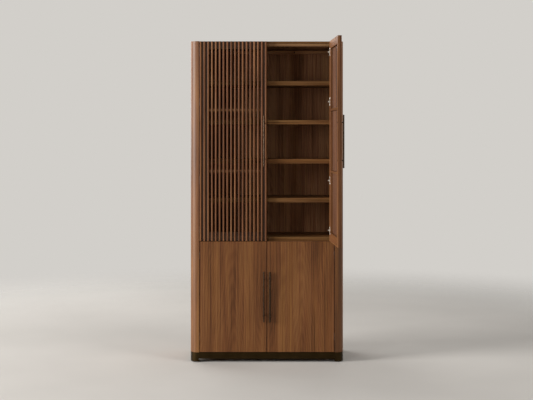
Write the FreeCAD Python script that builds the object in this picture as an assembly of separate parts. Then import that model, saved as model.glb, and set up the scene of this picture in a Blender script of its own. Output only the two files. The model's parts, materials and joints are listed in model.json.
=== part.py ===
import FreeCAD
import Part
import math
import os

# A tall two-tier cabinet on a metal plinth: two slatted leaves over two plain leaves.
# Millimetres. X to the right, Y from front to back, Z up. The origin is on the floor, midway
# across, in the plane of the closed leaves' fronts.

Vec = FreeCAD.Vector
X_AXIS = Vec(1, 0, 0)
Y_AXIS = Vec(0, 1, 0)
Z_AXIS = Vec(0, 0, 1)
TOUCH = 1e-6  # points nearer than this are one point

# Overall
WIDTH = 1066.8
DEPTH = 457.2
HEIGHT = 2235.2

# Rounded front corners and the cabinet's ends
CORNER_R = 57.0
STILE_FLAT = 4.0  # flat strip beside the rounding
END_T = 20.0  # outer end panel
SIDE_T = 18.0  # carcass side inside it
BATTEN_W = 40.0  # battens between the two

# Carcass boards
TOP_T = 16.5
SUBTOP_T = 17.5
DECK_T = 30.0
SHELF_T = 30.0
SHELF_COUNT = 4
BACK_T = 15.0
BACK_INSET = 3.0  # from the ends' rear edges
RAIL_T = 18.0
RAIL_H = 25.0
CARCASS_SETBACK = 3.0  # from the closed leaves' inner faces
SHELF_SETBACK = 2.0  # behind the carcass boards' front edges
SHELF_GAP = 0.5  # shelf end to carcass side
BOARD_EASE = 1.0  # rounding of the boards' and stiles' seen edges

# Shelf pins
PIN_R = 2.5
PIN_HOLE_CLEAR = 0.1
PIN_DEPTH = 9.0
PIN_OUT = 8.0
PIN_INSET = 42.0  # from a shelf's front and rear edges

# Holes for the wall fixing
ANCHOR_R = 2.75
ANCHOR_SPACING = 406.4

# Leaves
LEAF_T = 26.0
STILE_REVEAL = 4.0
MEETING_GAP = 4.0
TOP_REVEAL = 1.2
BOTTOM_REVEAL = 2.5
SPLIT_Z = 842.0  # middle of the gap between the two tiers
SPLIT_GAP = 4.0
DECK_RISE = 26.0  # deck's top above the split
LEAF_EASE = 1.0

# Slatted leaves
SLAT_T = 10.0
SLAT_W = 12.0
SLAT_COUNT = 18
SLAT_EASE = 2.0
HINGE_STILE_W = 60.0
LOCK_STILE_W = 42.0
TOP_RAIL_H = 53.0
BOTTOM_RAIL_H = 60.0
CROSS_RAIL_H = 15.0
CROSS_RAIL_COUNT = 2

# Handles
BAR_R = 5.0
BAR_L = 350.0
BAR_OUT = 15.0  # bar's centre in front of the leaf
BAR_EASE = 0.8
POST_R = 4.0
POST_SPACING = 250.0
SCREW_R = 2.0
SCREW_HEAD_R = 4.0
SCREW_HEAD_T = 1.8
SCREW_BITE = 9.0  # into a handle post
SCREW_CLEAR = 0.1

# Concealed hinges
PIVOT_IN = 7.0  # turning axis from the leaf's hinged edge
PIVOT_BACK = 0.5  # turning axis behind the leaf's front
OPENING = 93.5  # degrees, full opening
UPPER_HINGE_INSET = 75.0  # outer hinges from the leaf's ends
UPPER_HINGE_PAIR = 346.0  # from an outer hinge to the next
LOWER_HINGE_INSET = 100.0
CUP_R = 17.5
CUP_DEPTH = 12.0
CUP_WALL = 2.0
CUP_EDGE = 22.5  # cup's centre from the leaf's hinged edge
CUP_CLEAR = 0.1
FLANGE_T = 1.2
FLANGE_L = 57.0
FLANGE_W = 14.0
FLANGE_RIM = 1.5
FLANGE_SHIFT = 9.5
BOSS_W = 8.0
BOSS_SHIFT = 8.0  # from the cup's centre, towards the hinged edge
PLATE_T = 3.0
PLATE_W = 40.0
PLATE_H = 52.0
BLOCK_T = 10.0
BLOCK_W = 51.0
ARM_H = 15.0
ARM_W = 8.0
ARM_FRONT = 3.0  # arm behind the closed leaf's inner face
ARM_REACH = 23.0  # link's axis from the carcass side
FORK_L = 10.0
CHEEK_T = 3.0
LINK_T = 6.0
KNEE_CLEAR = 3.0  # link's knee from the open leaf's edge
FOOT_L = 5.0
FOOT_H = 2.0
KNUCKLE_R = 4.0
LINK_PIN_R = 1.5
LINK_PIN_CLEAR = 0.08
RUN_GAP = 0.3

# Bumpers
BUMPER_R = 4.0
BUMPER_IN = 20.0  # from the cabinet's middle

# Plinth
BASE_H = 68.0
APRON_RISE = 24.0
BASE_WALL = 4.0
FOOT_FLAT = 3.0
GLIDE_R = 16.0
GLIDE_T = 4.0
GLIDE_STEM_R = 4.0
GLIDE_STEM_L = 20.0
GLIDE_STEM_CLEAR = 0.2
BASE_SCREW_R = 2.5
BASE_SCREW_L = 30.0
BASE_SCREW_HEAD_R = 4.75
BASE_SCREW_HEAD_T = 3.0

# Worked out from the above
HALF_W = WIDTH / 2
STILE_W = CORNER_R + STILE_FLAT
FOOT_W = CORNER_R + FOOT_FLAT
SIDE_X = HALF_W - STILE_W  # inner face of stile and carcass side
SIDE_OUT_X = SIDE_X + SIDE_T
END_X = HALF_W - END_T
CARCASS_Y = LEAF_T + CARCASS_SETBACK
SHELF_Y = CARCASS_Y + SHELF_SETBACK
BACK_Y = DEPTH - BACK_INSET - BACK_T
TOP_Z = HEIGHT - TOP_T
SUBTOP_Z = TOP_Z - SUBTOP_T
DECK_TOP_Z = SPLIT_Z + DECK_RISE
DECK_Z = DECK_TOP_Z - DECK_T
FLOOR_TOP_Z = BASE_H + DECK_T
PIN_HOLE_R = PIN_R + PIN_HOLE_CLEAR
BATTEN_REAR_Y = BACK_Y - BATTEN_W
BASE_SCREW_X = (SIDE_OUT_X + END_X) / 2
BASE_SCREW_YS = (STILE_W / 2, BATTEN_REAR_Y + BATTEN_W / 2)
REAR_FOOT_Y = DEPTH - FOOT_W
GLIDE_X = HALF_W - FOOT_W / 2
GLIDE_YS = (FOOT_W / 2, DEPTH - FOOT_W / 2)

LEAF_EDGE_X = SIDE_X - STILE_REVEAL  # hinged edge of a right-hand leaf
LEAF_W = LEAF_EDGE_X - MEETING_GAP / 2
PIVOT = Vec(LEAF_EDGE_X - PIVOT_IN, PIVOT_BACK, 0)
LOWER_Z = (BASE_H + BOTTOM_REVEAL, SPLIT_Z - SPLIT_GAP / 2)
UPPER_Z = (SPLIT_Z + SPLIT_GAP / 2, HEIGHT - TOP_REVEAL)
SLAT_PITCH = (LEAF_W - SLAT_W) / (SLAT_COUNT - 1)
HANDLE_X = MEETING_GAP / 2 + (SLAT_W + SLAT_PITCH) / 2  # middle of the last gap between slats
CUP_X = LEAF_EDGE_X - CUP_EDGE
ARM_Y = LEAF_T + ARM_FRONT
LINK_AXIS = Vec(SIDE_X - ARM_REACH, ARM_Y + ARM_W / 2, 0)
LINK_H = ARM_H - 2 * CHEEK_T - 2 * RUN_GAP


def box(x0, x1, y0, y1, z0, z1):
    return Part.makeBox(x1 - x0, y1 - y0, z1 - z0, Vec(x0, y0, z0))


def rod(radius, length, start, direction):
    return Part.makeCylinder(radius, length, start, direction)


def mirrored(shape):
    return shape.mirror(Vec(0, 0, 0), X_AXIS)


def on_side(shape, side):
    """A right-hand shape as it is, or its mirror image on the left."""
    return shape if side > 0 else mirrored(shape)


def both_sides(shapes):
    return list(shapes) + [mirrored(s) for s in shapes]


def turned(shape, axis_point, degrees):
    copy = shape.copy()
    copy.rotate(axis_point, Z_AXIS, degrees)
    return copy


def eased(shape, radius, point, direction):
    """The shape with its edges that lie on the line through point in that direction rounded."""
    line = Part.makeLine(point - direction * HEIGHT, point + direction * HEIGHT)
    on_line = [e for e in shape.Edges if all(line.distToShape(v)[0] < TOUCH for v in e.Vertexes)]
    return shape.makeFillet(radius, on_line)


def export(node, shapes):
    shapes = shapes if isinstance(shapes, list) else [shapes]
    solids = [solid for shape in shapes for solid in shape.Solids]
    whole = solids[0] if len(solids) == 1 else Part.makeCompound(solids)
    whole.exportStep("parts/" + node + ".step")


# ---- carcass ----


def front_corner(inner_x, back_y, inset, z0, z1):
    """The right front corner's block, with its outer corner rounded, drawn in by inset."""
    centre = Vec(HALF_W - CORNER_R, CORNER_R, z0)
    radius = CORNER_R - inset
    start = centre + Vec(0, -radius, 0)
    middle = centre + Vec(radius * math.sin(math.pi / 4), -radius * math.cos(math.pi / 4), 0)
    end = centre + Vec(radius, 0, 0)
    corners = [
        end,
        Vec(end.x, back_y, z0),
        Vec(inner_x, back_y, z0),
        Vec(inner_x, start.y, z0),
        start,
    ]
    edges = [Part.makeLine(a, b) for a, b in zip(corners, corners[1:])]
    edges.append(Part.Arc(start, middle, end).toShape())
    face = Part.Face(Part.Wire(Part.__sortEdges__(edges)))
    return face.extrude(Vec(0, 0, z1 - z0))


def base_screw_holes():
    radius = BASE_SCREW_R + SCREW_CLEAR
    start_z = BASE_H - BASE_WALL
    length = BASE_WALL + BASE_SCREW_L
    return [rod(radius, length, Vec(BASE_SCREW_X, y, start_z), Z_AXIS) for y in BASE_SCREW_YS]


def corner_post():
    post = front_corner(SIDE_X, STILE_W, 0, BASE_H, HEIGHT)
    post = eased(post, BOARD_EASE, Vec(SIDE_X, 0, 0), Z_AXIS)
    return post.cut(base_screw_holes())


def end_panel():
    return box(END_X, HALF_W, STILE_W, DEPTH, BASE_H, HEIGHT)


def shelf_tops():
    """The upper shelves' top heights, lowest first, with equal spaces between the boards."""
    clear = (SUBTOP_Z - DECK_TOP_Z - SHELF_COUNT * SHELF_T) / (SHELF_COUNT + 1)
    return [DECK_TOP_Z + n * (clear + SHELF_T) for n in range(1, SHELF_COUNT + 1)]


def lower_shelf_top():
    return (FLOOR_TOP_Z + DECK_Z + SHELF_T) / 2


def pin_places():
    """Depth and height of each right-hand shelf pin's axis."""
    tops = shelf_tops() + [lower_shelf_top()]
    depths = (SHELF_Y + PIN_INSET, BACK_Y - PIN_INSET)
    return [(y, top - SHELF_T - PIN_R) for top in tops for y in depths]


def shelf_pins():
    length = PIN_DEPTH + PIN_OUT
    start_x = SIDE_X - PIN_OUT
    return [rod(PIN_R, length, Vec(start_x, y, z), X_AXIS) for y, z in pin_places()]


def carcass_side():
    side = box(SIDE_X, SIDE_OUT_X, STILE_W, BACK_Y, BASE_H, TOP_Z)
    depth = PIN_DEPTH + PIN_HOLE_CLEAR
    holes = [rod(PIN_HOLE_R, depth, Vec(SIDE_X, y, z), X_AXIS) for y, z in pin_places()]
    return side.cut(holes)


def battens():
    fronts = (STILE_W, BATTEN_REAR_Y)
    bars = [box(SIDE_OUT_X, END_X, y, y + BATTEN_W, BASE_H, TOP_Z) for y in fronts]
    return [bar.cut(base_screw_holes()) for bar in bars]


def top_panel():
    between_posts = box(-SIDE_X, SIDE_X, CARCASS_Y, STILE_W, TOP_Z, HEIGHT)
    behind_posts = box(-END_X, END_X, STILE_W, DEPTH, TOP_Z, HEIGHT)
    return between_posts.fuse(behind_posts).removeSplitter()


def front_eased(board, y, z0, z1):
    for z in (z0, z1):
        board = eased(board, BOARD_EASE, Vec(0, y, z), X_AXIS)
    return board


def carcass_board(z0, z1):
    return front_eased(box(-SIDE_X, SIDE_X, CARCASS_Y, BACK_Y, z0, z1), CARCASS_Y, z0, z1)


def anchor_holes():
    z = SUBTOP_Z - RAIL_H / 2
    start_y = BACK_Y - RAIL_T
    length = DEPTH - start_y
    spots = (-ANCHOR_SPACING / 2, ANCHOR_SPACING / 2)
    return [rod(ANCHOR_R, length, Vec(x, start_y, z), Y_AXIS) for x in spots]


def back_panel(z0, z1):
    return box(-END_X, END_X, BACK_Y, BACK_Y + BACK_T, z0, z1).cut(anchor_holes())


def rear_top_rail():
    rail = box(-SIDE_X, SIDE_X, BACK_Y - RAIL_T, BACK_Y, SUBTOP_Z - RAIL_H, SUBTOP_Z)
    return rail.cut(anchor_holes())


def shelf(top_z):
    half = SIDE_X - SHELF_GAP
    low = top_z - SHELF_T
    return front_eased(box(-half, half, SHELF_Y, BACK_Y - SHELF_GAP, low, top_z), SHELF_Y, low, top_z)


def bumpers():
    """Small pads on the carcass boards' front edges, just clear of the closed leaves."""
    heights = (SUBTOP_Z + SUBTOP_T / 2, DECK_TOP_Z - BUMPER_R * 1.5, FLOOR_TOP_Z - BUMPER_R * 1.5)
    length = CARCASS_SETBACK - RUN_GAP
    start_y = CARCASS_Y - length
    return [rod(BUMPER_R, length, Vec(BUMPER_IN, start_y, z), Y_AXIS) for z in heights]


def build_carcass():
    for name, side in (("left", -1), ("right", 1)):
        export("corner_post_" + name, on_side(corner_post(), side))
        export("end_panel_" + name, on_side(end_panel(), side))
        export("carcass_side_" + name, on_side(carcass_side(), side))
        export("end_battens_" + name, [on_side(b, side) for b in battens()])
    export("top_panel", top_panel())
    export("carcass_top", carcass_board(SUBTOP_Z, TOP_Z))
    export("middle_deck", carcass_board(DECK_Z, DECK_TOP_Z))
    export("bottom_deck", carcass_board(BASE_H, FLOOR_TOP_Z))
    split = (DECK_Z + DECK_TOP_Z) / 2
    export("back_panel_upper", back_panel(split, TOP_Z))
    export("back_panel_lower", back_panel(BASE_H, split))
    export("rear_top_rail", rear_top_rail())
    for n, top in enumerate(shelf_tops(), 1):
        export("upper_shelf_" + str(n), shelf(top))
    export("lower_shelf", shelf(lower_shelf_top()))
    export("shelf_pins", both_sides(shelf_pins()))
    export("door_bumpers", both_sides(bumpers()))


# ---- plinth ----


def bored_foot(block, pocket, screw_y, glide_y):
    """A hollow corner foot, bored for the screw above it and the glide's stem below it."""
    screw_seat = Vec(BASE_SCREW_X, screw_y, BASE_H - BASE_WALL)
    screw = rod(BASE_SCREW_R + SCREW_CLEAR, BASE_WALL, screw_seat, Z_AXIS)
    stem_seat = Vec(GLIDE_X, glide_y, GLIDE_T)
    stem = rod(GLIDE_STEM_R + GLIDE_STEM_CLEAR, BASE_WALL, stem_seat, Z_AXIS)
    return block.cut([pocket, screw, stem])


def front_foot():
    inner_x = HALF_W - FOOT_W
    block = front_corner(inner_x, FOOT_W, 0, GLIDE_T, BASE_H)
    pocket = front_corner(inner_x, FOOT_W, BASE_WALL, GLIDE_T + BASE_WALL, BASE_H - BASE_WALL)
    return bored_foot(block, pocket, BASE_SCREW_YS[0], GLIDE_YS[0])


def rear_foot():
    inner_x = HALF_W - FOOT_W
    block = box(inner_x, HALF_W, REAR_FOOT_Y, DEPTH, GLIDE_T, BASE_H)
    low, high = GLIDE_T + BASE_WALL, BASE_H - BASE_WALL
    pocket = box(inner_x, HALF_W - BASE_WALL, REAR_FOOT_Y, DEPTH - BASE_WALL, low, high)
    return bored_foot(block, pocket, BASE_SCREW_YS[1], GLIDE_YS[1])


def glides():
    pads = []
    for y in GLIDE_YS:
        pad = rod(GLIDE_R, GLIDE_T, Vec(GLIDE_X, y, 0), Z_AXIS)
        stem = rod(GLIDE_STEM_R, GLIDE_STEM_L, Vec(GLIDE_X, y, 0), Z_AXIS)
        pads.append(pad.fuse(stem).removeSplitter())
    return pads


def base_screws():
    screws = []
    for y in BASE_SCREW_YS:
        seat = Vec(BASE_SCREW_X, y, BASE_H - BASE_WALL)
        shank = rod(BASE_SCREW_R, BASE_WALL + BASE_SCREW_L, seat, Z_AXIS)
        head = rod(BASE_SCREW_HEAD_R, BASE_SCREW_HEAD_T, seat - Z_AXIS * BASE_SCREW_HEAD_T, Z_AXIS)
        screws.append(shank.fuse(head))
    return screws


def build_plinth():
    foot_x = HALF_W - FOOT_W
    side_rail = box(HALF_W - BASE_WALL, HALF_W, FOOT_W, REAR_FOOT_Y, APRON_RISE, BASE_H)
    export("base_apron_front", box(-foot_x, foot_x, 0, BASE_WALL, APRON_RISE, BASE_H))
    export("base_apron_rear", box(-foot_x, foot_x, DEPTH - BASE_WALL, DEPTH, APRON_RISE, BASE_H))
    export("base_apron_left", mirrored(side_rail))
    export("base_apron_right", side_rail)
    export("base_feet", both_sides([front_foot(), rear_foot()]))
    export("floor_glides", both_sides(glides()))
    export("base_screws", both_sides(base_screws()))


# ---- leaves: each is drawn closed on the right, then mirrored or turned open ----


def hinge_heights(leaf_z):
    low, high = leaf_z
    if leaf_z == UPPER_Z:
        a, b = UPPER_HINGE_INSET, UPPER_HINGE_INSET + UPPER_HINGE_PAIR
        return [low + a, low + b, high - b, high - a]
    return [low + LOWER_HINGE_INSET, high - LOWER_HINGE_INSET]


def cup_bores(leaf_z):
    start_y = LEAF_T - CUP_DEPTH - CUP_CLEAR
    radius = CUP_R + CUP_CLEAR
    length = CUP_DEPTH + CUP_CLEAR
    return [rod(radius, length, Vec(CUP_X, start_y, z), Y_AXIS) for z in hinge_heights(leaf_z)]


def hinge_cup(z):
    start = Vec(CUP_X, LEAF_T - CUP_DEPTH, z)
    body = rod(CUP_R, CUP_DEPTH, start, Y_AXIS)
    rim = rod(CUP_R + FLANGE_RIM, FLANGE_T, Vec(CUP_X, LEAF_T, z), Y_AXIS)
    wing_x = CUP_X - FLANGE_SHIFT
    wing = box(
        wing_x - FLANGE_W / 2,
        wing_x + FLANGE_W / 2,
        LEAF_T,
        LEAF_T + FLANGE_T,
        z - FLANGE_L / 2,
        z + FLANGE_L / 2,
    )
    hollow = rod(CUP_R - CUP_WALL, CUP_DEPTH + FLANGE_T, start + Y_AXIS * CUP_WALL, Y_AXIS)
    boss_x, boss_z = CUP_X + BOSS_SHIFT - BOSS_W / 2, z - LINK_H / 2
    boss = box(boss_x, boss_x + BOSS_W, start.y, LEAF_T + FLANGE_T, boss_z, boss_z + LINK_H)
    return body.fuse([rim, wing]).cut(hollow).fuse(boss)


def post_heights(leaf_z):
    middle = sum(leaf_z) / 2
    return (middle - POST_SPACING / 2, middle + POST_SPACING / 2)


def screw_bores(leaf_z):
    radius = SCREW_R + SCREW_CLEAR
    return [rod(radius, LEAF_T, Vec(HANDLE_X, 0, z), Y_AXIS) for z in post_heights(leaf_z)]


def handle(leaf_z, seat_y):
    """A round bar on two posts, and the screws that hold them through the leaf."""
    middle = sum(leaf_z) / 2
    foot = Vec(HANDLE_X, -BAR_OUT, middle - BAR_L / 2)
    plain_bar = rod(BAR_R, BAR_L, foot, Z_AXIS)
    pieces = [plain_bar.makeFillet(BAR_EASE, plain_bar.Edges[0:1] + plain_bar.Edges[2:3])]
    for z in post_heights(leaf_z):
        post = rod(POST_R, seat_y + BAR_OUT, Vec(HANDLE_X, -BAR_OUT, z), Y_AXIS).cut(plain_bar)
        tip = Vec(HANDLE_X, seat_y - SCREW_BITE, z)
        thread = rod(SCREW_R + SCREW_CLEAR, SCREW_BITE, tip, Y_AXIS)
        shank = rod(SCREW_R, LEAF_T - tip.y, tip, Y_AXIS)
        head = rod(SCREW_HEAD_R, SCREW_HEAD_T, Vec(HANDLE_X, LEAF_T, z), Y_AXIS)
        pieces += [post.cut(thread), shank.fuse(head)]
    return pieces


def slats(leaf_z):
    """Upright slats with eased front edges, flush with the leaf's two edges."""
    low, high = leaf_z
    blanks = []
    for n in range(SLAT_COUNT):
        x = MEETING_GAP / 2 + n * SLAT_PITCH
        slat = box(x, x + SLAT_W, 0, SLAT_T, low, high)
        front = [e for e in slat.Edges if e.BoundBox.YMax < SLAT_T / 2 and e.BoundBox.ZLength > SLAT_T]
        blanks.append(slat.makeFillet(SLAT_EASE, front))
    return blanks


def frame_stile(x0, x1, leaf_z, bores):
    stile = box(x0, x1, SLAT_T, LEAF_T, *leaf_z)
    for x in (x0, x1):
        stile = eased(stile, BOARD_EASE, Vec(x, LEAF_T, 0), Z_AXIS)
    return stile.cut(bores)


def cross_rails(leaf_z):
    x0 = MEETING_GAP / 2 + LOCK_STILE_W
    x1 = LEAF_EDGE_X - HINGE_STILE_W
    low = leaf_z[0] + BOTTOM_RAIL_H
    step = (leaf_z[1] - TOP_RAIL_H - low) / (CROSS_RAIL_COUNT + 1)
    middles = [low + n * step for n in range(1, CROSS_RAIL_COUNT + 1)]
    return [box(x0, x1, SLAT_T, LEAF_T, z - CROSS_RAIL_H / 2, z + CROSS_RAIL_H / 2) for z in middles]


def slatted_leaf(leaf_z):
    low, high = leaf_z
    x0, x1 = MEETING_GAP / 2, LEAF_EDGE_X
    open_x = (x0 + LOCK_STILE_W, x1 - HINGE_STILE_W)
    return {
        "hinge_stile": frame_stile(open_x[1], x1, leaf_z, cup_bores(leaf_z)),
        "lock_stile": frame_stile(x0, open_x[0], leaf_z, screw_bores(leaf_z)),
        "top_rail": box(*open_x, SLAT_T, LEAF_T, high - TOP_RAIL_H, high),
        "bottom_rail": box(*open_x, SLAT_T, LEAF_T, low, low + BOTTOM_RAIL_H),
        "cross_rails": cross_rails(leaf_z),
        "slats": slats(leaf_z),
        "handle": handle(leaf_z, SLAT_T),
        "hinge_cups": [hinge_cup(z) for z in hinge_heights(leaf_z)],
    }


def plain_leaf(leaf_z):
    board = box(MEETING_GAP / 2, LEAF_EDGE_X, 0, LEAF_T, *leaf_z)
    board = board.makeFillet(LEAF_EASE, board.Edges)
    return {
        "panel": board.cut(cup_bores(leaf_z) + screw_bores(leaf_z)),
        "handle": handle(leaf_z, 0),
        "hinge_cups": [hinge_cup(z) for z in hinge_heights(leaf_z)],
    }


# ---- hinge arms on the carcass, and the links between arm and leaf ----


def hinge_plate(z):
    wing_y = ARM_Y + ARM_W + (BLOCK_W - PLATE_W) / 2
    wing = box(SIDE_X - PLATE_T, SIDE_X, wing_y, wing_y + PLATE_W, z - PLATE_H / 2, z + PLATE_H / 2)
    block = box(
        SIDE_X - PLATE_T - BLOCK_T,
        SIDE_X - PLATE_T,
        ARM_Y + ARM_W,
        ARM_Y + ARM_W + BLOCK_W,
        z - ARM_H / 2,
        z + ARM_H / 2,
    )
    return wing.fuse(block)


def hinge_arm(z):
    """A cross arm with a forked end, and the pin that the link turns on."""
    x1 = SIDE_X - PLATE_T
    x0 = LINK_AXIS.x - KNUCKLE_R
    arm = box(x0, x1, ARM_Y, ARM_Y + ARM_W, z - ARM_H / 2, z + ARM_H / 2)
    fork_x = x0 + FORK_L
    slot_half = ARM_H / 2 - CHEEK_T
    slot = box(x0, fork_x, ARM_Y, ARM_Y + ARM_W, z - slot_half, z + slot_half)
    pin = rod(LINK_PIN_R, ARM_H, LINK_AXIS + Z_AXIS * (z - ARM_H / 2), Z_AXIS)
    return arm.cut(slot).fuse(pin)


def link_axis_on_open_leaf():
    """The link's axis from the turning axis at full opening: along the leaf, and out from it."""
    turn = math.radians(OPENING)
    out = LINK_AXIS - PIVOT
    along = -out.x * math.cos(turn) - out.y * math.sin(turn)
    above = -out.x * math.sin(turn) + out.y * math.cos(turn)
    return along, above


def link_length():
    """From the link's axis to its foot, which lies over the cup's boss at full opening."""
    return CUP_EDGE - PIVOT_IN - BOSS_SHIFT - link_axis_on_open_leaf()[0]


def foot_offset():
    """From the link's axis back to its foot's end, just clear of the boss at full opening."""
    return LEAF_T - PIVOT_BACK + FLANGE_T + RUN_GAP - link_axis_on_open_leaf()[1]


def strip(start, end, width, low, high):
    """An upright flat bar of that width from start to end, seen in plan."""
    along = (end - start).normalize()
    side = Vec(-along.y, along.x, 0) * (width / 2)
    corners = [start + side, end + side, end - side, start - side, start + side]
    return Part.Face(Part.makePolygon([Vec(c.x, c.y, low) for c in corners])).extrude(Z_AXIS * (high - low))


def hinge_link(z):
    """A cranked link: it passes round the open leaf's edge and lies along its inner face."""
    low, high = z - LINK_H / 2, z + LINK_H / 2
    axis = Vec(LINK_AXIS.x, LINK_AXIS.y, low)
    bar_y = axis.y + foot_offset() + FOOT_H + LINK_T / 2
    foot_x = axis.x - link_length()
    knee_x = axis.x + link_axis_on_open_leaf()[0] + PIVOT_IN + KNEE_CLEAR + LINK_T / 2
    knee, end = Vec(knee_x, bar_y, low), Vec(foot_x - FOOT_L / 2, bar_y, low)
    crank = strip(axis, knee, LINK_T, low, high)
    bend = rod(LINK_T / 2, LINK_H, knee, Z_AXIS)
    bar = strip(knee, end, LINK_T, low, high)
    foot = box(end.x, end.x + FOOT_L, axis.y + foot_offset(), bar_y, low, high)
    bore = rod(LINK_PIN_R + LINK_PIN_CLEAR, LINK_H, axis, Z_AXIS)
    return rod(KNUCKLE_R, LINK_H, axis, Z_AXIS).fuse([crank, bend, bar, foot]).cut(bore)


def build_leaves():
    leaves = (
        ("upper_left", -1, UPPER_Z, slatted_leaf, 0),
        ("upper_right", 1, UPPER_Z, slatted_leaf, OPENING),
        ("lower_left", -1, LOWER_Z, plain_leaf, 0),
        ("lower_right", 1, LOWER_Z, plain_leaf, 0),
    )
    plates, arms = [], []
    for name, side, leaf_z, make, opened in leaves:
        for piece, shapes in make(leaf_z).items():
            shapes = shapes if isinstance(shapes, list) else [shapes]
            export(name + "_" + piece, [turned(on_side(s, side), PIVOT, opened) for s in shapes])
        heights = hinge_heights(leaf_z)
        links = [on_side(hinge_link(z), side) for z in heights]
        export(name + "_hinge_links", [turned(s, LINK_AXIS, opened) for s in links])
        plates += [on_side(hinge_plate(z), side) for z in heights]
        arms += [on_side(hinge_arm(z), side) for z in heights]
    export("hinge_plates", plates)
    export("hinge_arms", arms)


def main():
    os.makedirs("parts", exist_ok=True)
    build_carcass()
    build_plinth()
    build_leaves()


main()
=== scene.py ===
"""Finishes and small fittings for a tall walnut cabinet with slatted doors, and its studio."""

import functools
import json
import math

import bpy
from mathutils import Matrix, Vector


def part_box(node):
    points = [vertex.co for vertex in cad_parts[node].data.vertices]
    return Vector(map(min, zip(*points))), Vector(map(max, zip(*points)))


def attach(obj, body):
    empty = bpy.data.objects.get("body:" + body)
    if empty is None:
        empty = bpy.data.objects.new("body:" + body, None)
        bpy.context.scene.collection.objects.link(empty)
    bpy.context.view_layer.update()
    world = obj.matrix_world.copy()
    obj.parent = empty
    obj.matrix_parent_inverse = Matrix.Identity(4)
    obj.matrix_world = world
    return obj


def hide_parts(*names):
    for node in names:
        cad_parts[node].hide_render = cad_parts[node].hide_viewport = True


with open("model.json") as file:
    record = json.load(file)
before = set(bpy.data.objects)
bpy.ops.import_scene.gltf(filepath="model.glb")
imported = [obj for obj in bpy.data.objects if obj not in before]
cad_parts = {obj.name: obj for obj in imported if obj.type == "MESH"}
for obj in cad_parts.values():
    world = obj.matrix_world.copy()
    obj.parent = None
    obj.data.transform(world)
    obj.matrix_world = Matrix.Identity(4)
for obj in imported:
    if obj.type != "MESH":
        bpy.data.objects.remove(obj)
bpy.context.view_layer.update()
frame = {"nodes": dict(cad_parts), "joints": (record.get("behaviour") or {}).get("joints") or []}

bl_info = {
    "name": "Tall Slatted Cabinet",
    "version": (1, 0, 0),
    "blender": (4, 5, 0),
    "location": "3D View > Sidebar > Cabinet",
    "description": "Finishes, slats, screws and a studio for a tall walnut cabinet",
    "category": "Object",
}

MM = 0.001
IMAGE_WIDTH_PX = 533
SOLID_VIEW_COLOUR = (0.4, 0.3, 0.2, 1)

UPPER_DOORS = ("upper_left", "upper_right")
LOWER_DOORS = ("lower_left", "lower_right")
DOORS = UPPER_DOORS + LOWER_DOORS
OPEN_DOOR = "upper_right"  # stored standing open

JOINTS = {joint["name"]: joint for joint in frame["joints"]}
OPEN_JOINT = JOINTS[OPEN_DOOR + "_door_hinge"]
OPEN_TURN = math.radians(-OPEN_JOINT["range_deg"][0])
OPEN_PIVOT = Vector(OPEN_JOINT["pos_m"])

# Which way the grain runs on each board of the carcass.
FRONT_FACING_BOARDS = (
    "corner_post_left",
    "corner_post_right",
    "back_panel_upper",
    "back_panel_lower",
)
SIDE_FACING_BOARDS = (
    "end_panel_left",
    "end_panel_right",
    "carcass_side_left",
    "carcass_side_right",
)
LEVEL_BOARDS = (
    "top_panel",
    "carcass_top",
    "middle_deck",
    "bottom_deck",
    "rear_top_rail",
    "upper_shelf_1",
    "upper_shelf_2",
    "upper_shelf_3",
    "upper_shelf_4",
    "lower_shelf",
)
PLINTH = (
    "base_apron_front",
    "base_apron_rear",
    "base_apron_left",
    "base_apron_right",
    "base_feet",
)
HINGE_STEEL = ("hinge_plates", "hinge_arms")

# Hinges, wall fixing and plinth, as in the construction.
UPPER_HINGE_PAIR = 346 * MM  # from an outer hinge to the next
PLATE_THICKNESS = 3 * MM
PLATE_SCREW_SPREAD = 36 * MM
CUP_FLANGE_LENGTH = 57 * MM
CUP_SCREW_SPREAD = 45 * MM
CUP_SCREWS_IN = 32 * MM  # from the door's hinged edge
WALL_SCREW_X = 203.2 * MM
WALL_SCREW_Z = 2188.7 * MM
WALL_SCREW_HEAD = 11 * MM
# The dark strip in the plinth's slot is no part of the construction: it stands in for the shade
# there, as painted shade.
SHADE_STRIP_THICKNESS = 2 * MM


# ---- settings ----


def linear(hex_colour):
    """An sRGB hex colour as a linear colour with alpha."""
    levels = [int(hex_colour[i : i + 2], 16) / 255 for i in (1, 3, 5)]
    plain = (c / 12.92 if c <= 0.04045 else ((c + 0.055) / 1.055) ** 2.4 for c in levels)
    return tuple(plain) + (1.0,)


def colour(name, description, hex_colour):
    return bpy.props.FloatVectorProperty(
        name=name,
        description=description,
        subtype="COLOR",
        size=4,
        min=0,
        max=1,
        default=linear(hex_colour),
    )


def length(name, description, metres):
    return bpy.props.FloatProperty(
        name=name, description=description, default=metres, min=0, unit="LENGTH", precision=5
    )


def share(name, description, value):
    return bpy.props.FloatProperty(name=name, description=description, default=value, min=0, max=1)


def watts(name, description, value):
    return bpy.props.FloatProperty(
        name=name, description=description, default=value, min=0, unit="POWER"
    )


class WalnutSettings(bpy.types.PropertyGroup):
    dark: colour("Dark wood", "Walnut's late growth and streaks", "#4A2C14")
    middle: colour("Middle wood", "Walnut's main tone", "#693F21")
    light: colour("Light wood", "Walnut's pale early growth", "#835730")
    ring_width: length("Ring width", "Distance between growth lines", 13 * MM)
    streak_width: length("Streak width", "Width of the long grain streaks", 8 * MM)
    fine_width: length("Fine grain", "Width of the finest grain streaks", 1.8 * MM)
    pore_width: length("Pore width", "Width of a pore, drawn coarse enough to show", 0.5 * MM)
    roughness: share("Roughness", "Oiled walnut's mean roughness", 0.44)


class SlatSettings(bpy.types.PropertyGroup):
    ease: length("Edge rounding", "Rounding of a slat's edges", 3.6 * MM)
    count: bpy.props.IntProperty(
        name="Slats", description="Slats on each upper door", default=18, min=2
    )
    width: length("Slat width", "Width of one slat", 12 * MM)


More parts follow.
